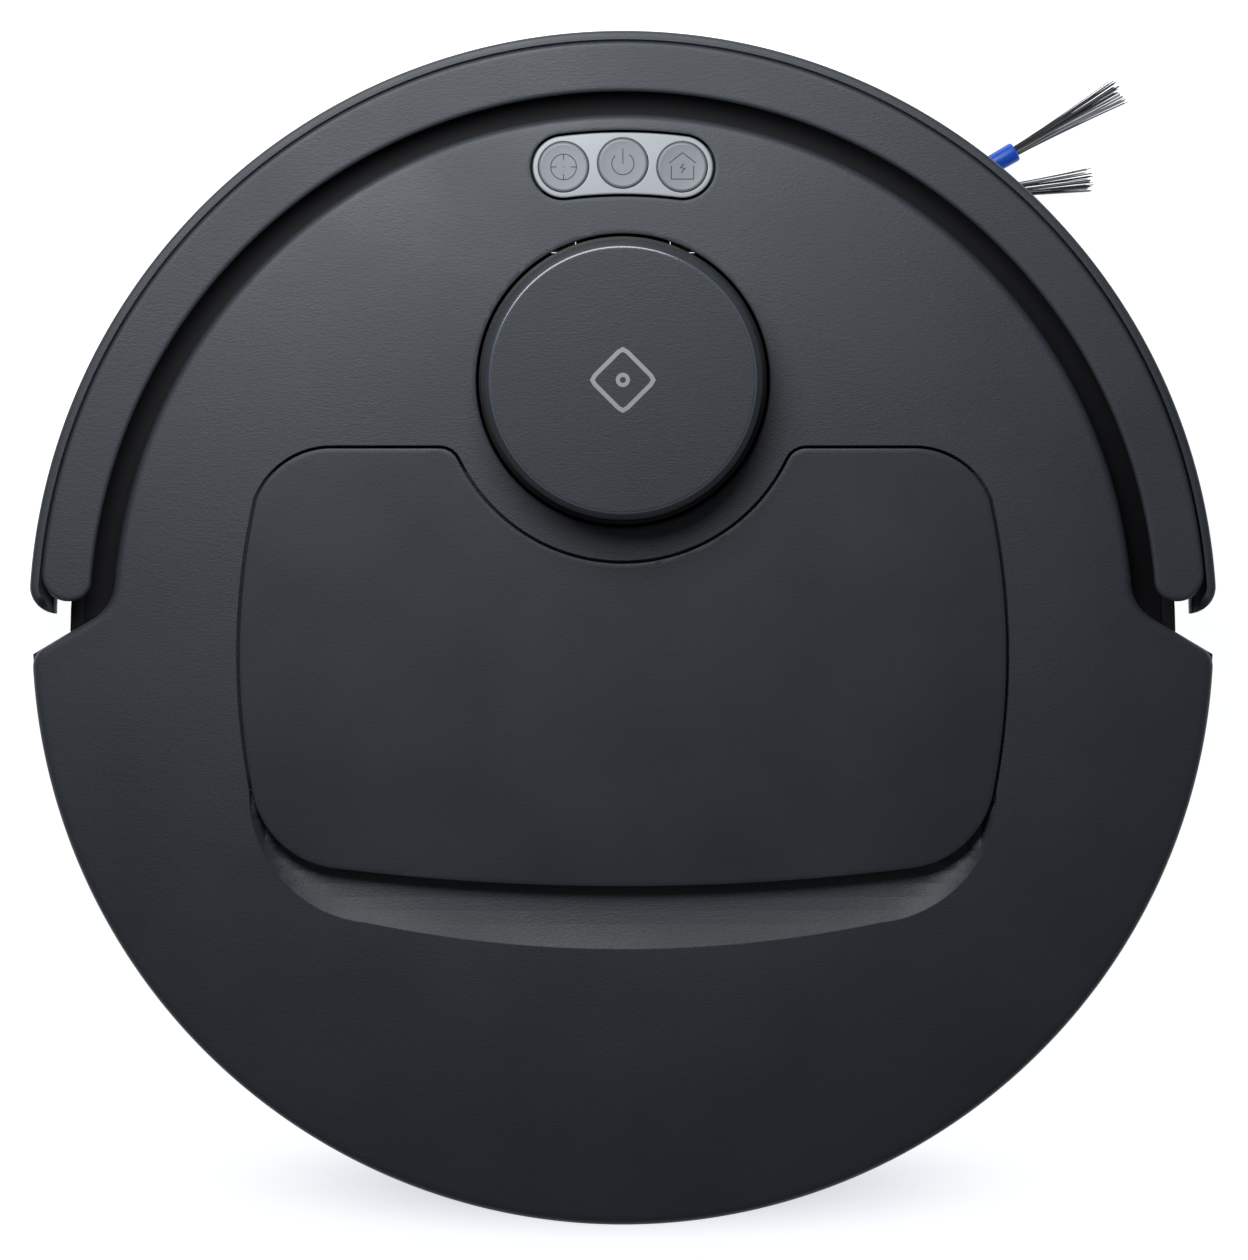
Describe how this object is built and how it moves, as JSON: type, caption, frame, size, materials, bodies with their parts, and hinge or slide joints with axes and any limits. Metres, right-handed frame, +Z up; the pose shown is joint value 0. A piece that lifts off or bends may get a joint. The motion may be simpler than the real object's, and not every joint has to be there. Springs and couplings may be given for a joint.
{
  "type": "robot vacuum",
  "caption": "Round robot vacuum with a sprung front bumper, lidar turret, top lid over the dust bin, silver button strip, side brush, roller brush and sprung drive wheels.",
  "frame": {"origin": "on the floor, under the centre of the round body", "axes": "+Y forwards, towards the bumper; +X to the robot's right; +Z up"},
  "size_m": [0.3518, 0.3536, 0.094],
  "materials": {
    "cover_grey": "fine moulded grain, satin",
    "bumper_grey": "fine moulded grain, satin",
    "lid_grey": "fine moulded grain, satin",
    "turret_grey": "fine moulded grain, satin",
    "black_plastic": "matt black",
    "dark_plastic": "satin dark grey",
    "silver_paint": "silver paint on plastic",
    "button_grey": "silver grey, satin",
    "window_black": "infra-red window, gloss",
    "smoke_bin": "smoked clear plastic",
    "filter_white": "pleated paper",
    "tyre_rubber": "moulded rubber",
    "blade_rubber": "soft rubber",
    "blue_sleeve": "soft blue sleeve",
    "bristle": "nylon bristles",
    "steel": "steel",
    "contact_metal": "plated contact",
    "board_green": "circuit board",
    "battery_wrap": "shrink wrap",
    "lens_dark": "dark lens"
  },
  "bodies": {
    "body": {"chassis_base": "black_plastic", "front_deck": "black_plastic", "top_cover": "cover_grey", "bin_bay": "dark_plastic", "lid_hinge_pins": "steel", "button_plate": "silver_paint", "bumper_switches": "dark_plastic", "bumper_springs": "steel", "turret_base": "black_plastic", "lidar_motor": "steel", "wheel_wells": "dark_plastic", "suspension_springs": "steel", "brush_box": "dark_plastic", "brush_motor": "steel", "brush_guard": "dark_plastic", "side_brush_gearbox": "dark_plastic", "battery_pack": "battery_wrap", "battery_door": "black_plastic", "fan_housing": "dark_plastic", "fan_motor": "steel", "exhaust_grille": "black_plastic", "circuit_boards": "board_green", "speaker": "dark_plastic", "charge_contacts": "contact_metal", "cliff_lenses": "lens_dark", "base_screws": "steel"},
    "bumper": {"bumper_shell": "bumper_grey", "bumper_skin": "bumper_grey", "bumper_window": "window_black"},
    "lid": {"lid": "lid_grey"},
    "dust_bin": {"dust_bin": "smoke_bin", "bin_top": "dark_plastic", "filter_frame": "dark_plastic", "filter_pleats": "filter_white"},
    "bin_handle": {"bin_handle": "dark_plastic"},
    "turret_cap": {"turret_cap": "turret_grey"},
    "lidar_rotor": {"lidar_rotor": "dark_plastic"},
    "spot_button": {"spot_button": "button_grey"},
    "power_button": {"power_button": "button_grey"},
    "dock_button": {"dock_button": "button_grey"},
    "power_switch": {"power_switch": "button_grey"},
    "reset_button": {"reset_button": "button_grey"},
    "side_brush": {"side_brush_hub": "dark_plastic", "side_brush_sleeves": "blue_sleeve", "side_brush_bristles": "bristle"},
    "main_brush": {"brush_roller": "dark_plastic", "brush_blades": "blade_rubber", "brush_gear": "dark_plastic"},
    "brush_pinion": {"brush_pinion": "dark_plastic"},
    "arm_left": {"swing_arm_left": "dark_plastic"},
    "arm_right": {"swing_arm_right": "dark_plastic"},
    "wheel_left": {"wheel_hub_left": "dark_plastic", "tyre_left": "tyre_rubber"},
    "wheel_right": {"wheel_hub_right": "dark_plastic", "tyre_right": "tyre_rubber"},
    "caster_fork": {"caster_fork": "dark_plastic", "caster_axle": "steel"},
    "caster_wheel": {"caster_wheel": "dark_plastic"},
    "fan_impeller": {"fan_impeller": "dark_plastic"}
  },
  "joints": [
    {"name": "bumper_press", "type": "slide", "parent": "body", "child": "bumper", "axis": [0, -1, 0], "range_m": [0, 0.004], "stiffness_N_per_m": 600, "springref_m": -0.002, "deforming": ["bumper_springs"]},
    {"name": "lid_hinge", "type": "hinge", "parent": "body", "child": "lid", "pos_m": [0, 0.0495, 0.0745], "axis": [-1, 0, 0], "range_deg": [0, 65]},
    {"name": "bin_lift", "type": "slide", "parent": "body", "child": "dust_bin", "axis": [0, 0, 1], "range_m": [0, 0.045]},
    {"name": "handle_fold", "type": "hinge", "parent": "dust_bin", "child": "bin_handle", "pos_m": [0, -0.0075, 0.0659], "axis": [-1, 0, 0], "range_deg": [0, 70]},
    {"name": "turret_bump", "type": "slide", "parent": "body", "child": "turret_cap", "axis": [0, 0, -1], "range_m": [0, 0.001], "stiffness_N_per_m": 2500, "springref_m": -0.0005},
    {"name": "lidar_spin", "type": "hinge", "parent": "body", "child": "lidar_rotor", "pos_m": [0, 0.075, 0.07], "axis": [0, 0, 1], "continuous": true},
    {"name": "spot_press", "type": "slide", "parent": "body", "child": "spot_button", "axis": [0, 0, -1], "range_m": [0, 0.0006], "stiffness_N_per_m": 1200, "springref_m": -0.0005},
    {"name": "power_press", "type": "slide", "parent": "body", "child": "power_button", "axis": [0, 0, -1], "range_m": [0, 0.0006], "stiffness_N_per_m": 1200, "springref_m": -0.0005},
    {"name": "dock_press", "type": "slide", "parent": "body", "child": "dock_button", "axis": [0, 0, -1], "range_m": [0, 0.0006], "stiffness_N_per_m": 1200, "springref_m": -0.0005},
    {"name": "power_switch_press", "type": "slide", "parent": "body", "child": "power_switch", "axis": [0, 0, -1], "range_m": [0, 0.0008], "stiffness_N_per_m": 1200, "springref_m": -0.0005},
    {"name": "reset_press", "type": "slide", "parent": "body", "child": "reset_button", "axis": [0, 0, -1], "range_m": [0, 0.0006], "stiffness_N_per_m": 1200, "springref_m": -0.0005},
    {"name": "side_brush_spin", "type": "hinge", "parent": "body", "child": "side_brush", "pos_m": [0.084, 0.112, 0.006], "axis": [0, 0, 1], "continuous": true, "deforming": ["side_brush_bristles"]},
    {"name": "main_brush_spin", "type": "hinge", "parent": "body", "child": "main_brush", "pos_m": [0, 0.05, 0.02], "axis": [1, 0, 0], "continuous": true, "deforming": ["brush_blades"]},
    {"name": "pinion_spin", "type": "hinge", "parent": "body", "child": "brush_pinion", "pos_m": [-0.09, 0.05, 0.03], "axis": [1, 0, 0], "continuous": true},
    {"name": "suspension_left", "type": "hinge", "parent": "body", "child": "arm_left", "pos_m": [-0.105, 0.036, 0.04], "axis": [1, 0, 0], "range_deg": [0, 26], "stiffness_Nm_per_rad": 0.4, "springref_deg": 34.38, "deforming": ["suspension_springs"]},
    {"name": "suspension_right", "type": "hinge", "parent": "body", "child": "arm_right", "pos_m": [0.105, 0.036, 0.04], "axis": [1, 0, 0], "range_deg": [0, 26], "stiffness_Nm_per_rad": 0.4, "springref_deg": 34.38},
    {"name": "wheel_spin_left", "type": "hinge", "parent": "arm_left", "child": "wheel_left", "pos_m": [-0.119, -0.012, 0.033], "axis": [1, 0, 0], "continuous": true},
    {"name": "wheel_spin_right", "type": "hinge", "parent": "arm_right", "child": "wheel_right", "pos_m": [0.119, -0.012, 0.033], "axis": [1, 0, 0], "continuous": true},
    {"name": "caster_swivel", "type": "hinge", "parent": "body", "child": "caster_fork", "pos_m": [0, 0.137, 0.02], "axis": [0, 0, 1], "continuous": true},
    {"name": "caster_spin", "type": "hinge", "parent": "caster_fork", "child": "caster_wheel", "pos_m": [0, 0.134, 0.011], "axis": [1, 0, 0], "continuous": true},
    {"name": "fan_spin", "type": "hinge", "parent": "body", "child": "fan_impeller", "pos_m": [-0.06, -0.113, 0.05], "axis": [0, 0, 1], "continuous": true}
  ],
  "couplings": [
    {"joint": "bin_lift", "follows": "lid_hinge", "m_per_rad": 0.03966},
    {"joint": "handle_fold", "follows": "lid_hinge", "ratio": 1.075},
    {"joint": "pinion_spin", "follows": "main_brush_spin", "ratio": -2}
  ]
}
